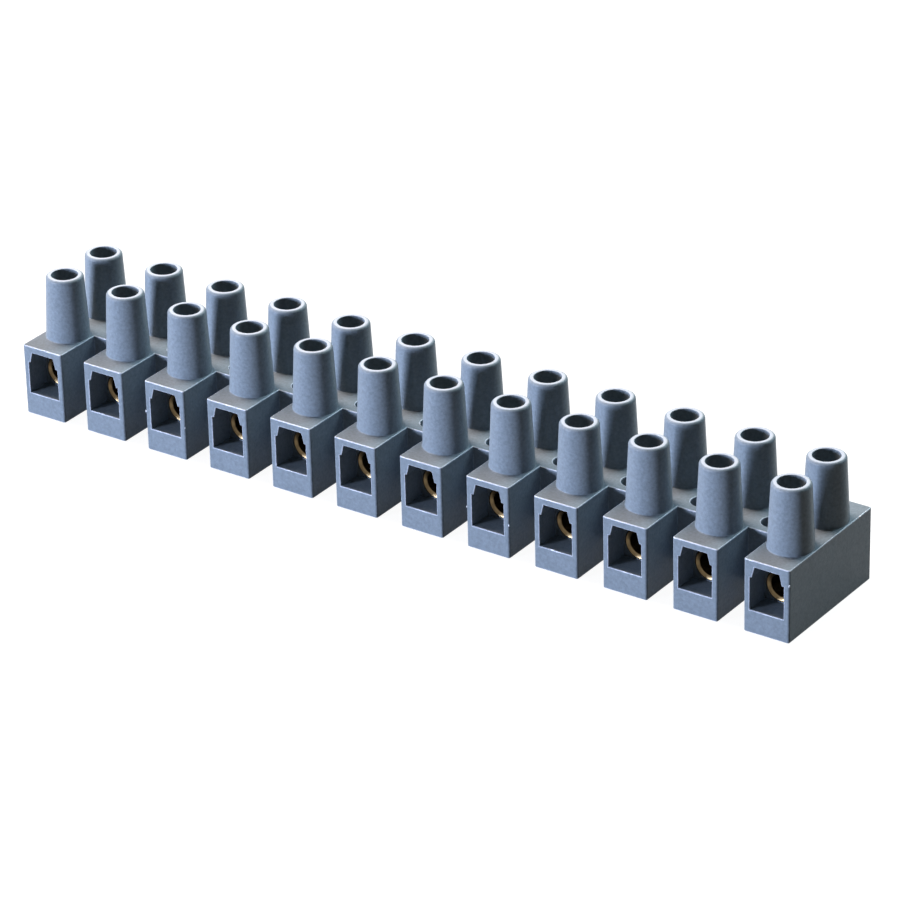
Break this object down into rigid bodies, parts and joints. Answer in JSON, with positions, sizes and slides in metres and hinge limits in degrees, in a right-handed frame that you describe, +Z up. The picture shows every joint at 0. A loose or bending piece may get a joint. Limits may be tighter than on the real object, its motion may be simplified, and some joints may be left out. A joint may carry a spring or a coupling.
{
  "type": "terminal strip",
  "caption": "Moulded terminal strip for joining wires end to end: a comb of poles on webs, each with a brass clamp tube under screws in tall round turrets.",
  "frame": {"origin": "on the base plane, under the middle of the strip", "axes": "+X along the row of poles, +Y along the wires towards the rear entries, +Z up along the turrets"},
  "size_m": [0.1396, 0.0232, 0.0222],
  "materials": {
    "grey_plastic": "satin moulded",
    "brass": "machined",
    "plated_steel": "zinc plated"
  },
  "bodies": {
    "strip": {"housing": "grey_plastic", "clamp_tube_01": "brass", "clamp_tube_02": "brass", "clamp_tube_03": "brass", "clamp_tube_04": "brass", "clamp_tube_05": "brass", "clamp_tube_06": "brass", "clamp_tube_07": "brass", "clamp_tube_08": "brass", "clamp_tube_09": "brass", "clamp_tube_10": "brass", "clamp_tube_11": "brass", "clamp_tube_12": "brass"},
    "front_screw_01": {"front_screw_01": "plated_steel"},
    "rear_screw_01": {"rear_screw_01": "plated_steel"},
    "front_screw_02": {"front_screw_02": "plated_steel"},
    "rear_screw_02": {"rear_screw_02": "plated_steel"},
    "front_screw_03": {"front_screw_03": "plated_steel"},
    "rear_screw_03": {"rear_screw_03": "plated_steel"},
    "front_screw_04": {"front_screw_04": "plated_steel"},
    "rear_screw_04": {"rear_screw_04": "plated_steel"},
    "front_screw_05": {"front_screw_05": "plated_steel"},
    "rear_screw_05": {"rear_screw_05": "plated_steel"},
    "front_screw_06": {"front_screw_06": "plated_steel"},
    "rear_screw_06": {"rear_screw_06": "plated_steel"},
    "front_screw_07": {"front_screw_07": "plated_steel"},
    "rear_screw_07": {"rear_screw_07": "plated_steel"},
    "front_screw_08": {"front_screw_08": "plated_steel"},
    "rear_screw_08": {"rear_screw_08": "plated_steel"},
    "front_screw_09": {"front_screw_09": "plated_steel"},
    "rear_screw_09": {"rear_screw_09": "plated_steel"},
    "front_screw_10": {"front_screw_10": "plated_steel"},
    "rear_screw_10": {"rear_screw_10": "plated_steel"},
    "front_screw_11": {"front_screw_11": "plated_steel"},
    "rear_screw_11": {"rear_screw_11": "plated_steel"},
    "front_screw_12": {"front_screw_12": "plated_steel"},
    "rear_screw_12": {"rear_screw_12": "plated_steel"}
  },
  "joints": [
    {"name": "front_screw_01_travel", "type": "slide", "parent": "strip", "child": "front_screw_01", "axis": [0, 0, -1], "range_m": [0, 0.00279]},
    {"name": "rear_screw_01_travel", "type": "slide", "parent": "strip", "child": "rear_screw_01", "axis": [0, 0, -1], "range_m": [0, 0.00279]},
    {"name": "front_screw_02_travel", "type": "slide", "parent": "strip", "child": "front_screw_02", "axis": [0, 0, -1], "range_m": [0, 0.00279]},
    {"name": "rear_screw_02_travel", "type": "slide", "parent": "strip", "child": "rear_screw_02", "axis": [0, 0, -1], "range_m": [0, 0.00279]},
    {"name": "front_screw_03_travel", "type": "slide", "parent": "strip", "child": "front_screw_03", "axis": [0, 0, -1], "range_m": [0, 0.00279]},
    {"name": "rear_screw_03_travel", "type": "slide", "parent": "strip", "child": "rear_screw_03", "axis": [0, 0, -1], "range_m": [0, 0.00279]},
    {"name": "front_screw_04_travel", "type": "slide", "parent": "strip", "child": "front_screw_04", "axis": [0, 0, -1], "range_m": [0, 0.00279]},
    {"name": "rear_screw_04_travel", "type": "slide", "parent": "strip", "child": "rear_screw_04", "axis": [0, 0, -1], "range_m": [0, 0.00279]},
    {"name": "front_screw_05_travel", "type": "slide", "parent": "strip", "child": "front_screw_05", "axis": [0, 0, -1], "range_m": [0, 0.00279]},
    {"name": "rear_screw_05_travel", "type": "slide", "parent": "strip", "child": "rear_screw_05", "axis": [0, 0, -1], "range_m": [0, 0.00279]},
    {"name": "front_screw_06_travel", "type": "slide", "parent": "strip", "child": "front_screw_06", "axis": [0, 0, -1], "range_m": [0, 0.00279]},
    {"name": "rear_screw_06_travel", "type": "slide", "parent": "strip", "child": "rear_screw_06", "axis": [0, 0, -1], "range_m": [0, 0.00279]},
    {"name": "front_screw_07_travel", "type": "slide", "parent": "strip", "child": "front_screw_07", "axis": [0, 0, -1], "range_m": [0, 0.00279]},
    {"name": "rear_screw_07_travel", "type": "slide", "parent": "strip", "child": "rear_screw_07", "axis": [0, 0, -1], "range_m": [0, 0.00279]},
    {"name": "front_screw_08_travel", "type": "slide", "parent": "strip", "child": "front_screw_08", "axis": [0, 0, -1], "range_m": [0, 0.00279]},
    {"name": "rear_screw_08_travel", "type": "slide", "parent": "strip", "child": "rear_screw_08", "axis": [0, 0, -1], "range_m": [0, 0.00279]},
    {"name": "front_screw_09_travel", "type": "slide", "parent": "strip", "child": "front_screw_09", "axis": [0, 0, -1], "range_m": [0, 0.00279]},
    {"name": "rear_screw_09_travel", "type": "slide", "parent": "strip", "child": "rear_screw_09", "axis": [0, 0, -1], "range_m": [0, 0.00279]},
    {"name": "front_screw_10_travel", "type": "slide", "parent": "strip", "child": "front_screw_10", "axis": [0, 0, -1], "range_m": [0, 0.00279]},
    {"name": "rear_screw_10_travel", "type": "slide", "parent": "strip", "child": "rear_screw_10", "axis": [0, 0, -1], "range_m": [0, 0.00279]},
    {"name": "front_screw_11_travel", "type": "slide", "parent": "strip", "child": "front_screw_11", "axis": [0, 0, -1], "range_m": [0, 0.00279]},
    {"name": "rear_screw_11_travel", "type": "slide", "parent": "strip", "child": "rear_screw_11", "axis": [0, 0, -1], "range_m": [0, 0.00279]},
    {"name": "front_screw_12_travel", "type": "slide", "parent": "strip", "child": "front_screw_12", "axis": [0, 0, -1], "range_m": [0, 0.00279]},
    {"name": "rear_screw_12_travel", "type": "slide", "parent": "strip", "child": "rear_screw_12", "axis": [0, 0, -1], "range_m": [0, 0.00279]}
  ]
}
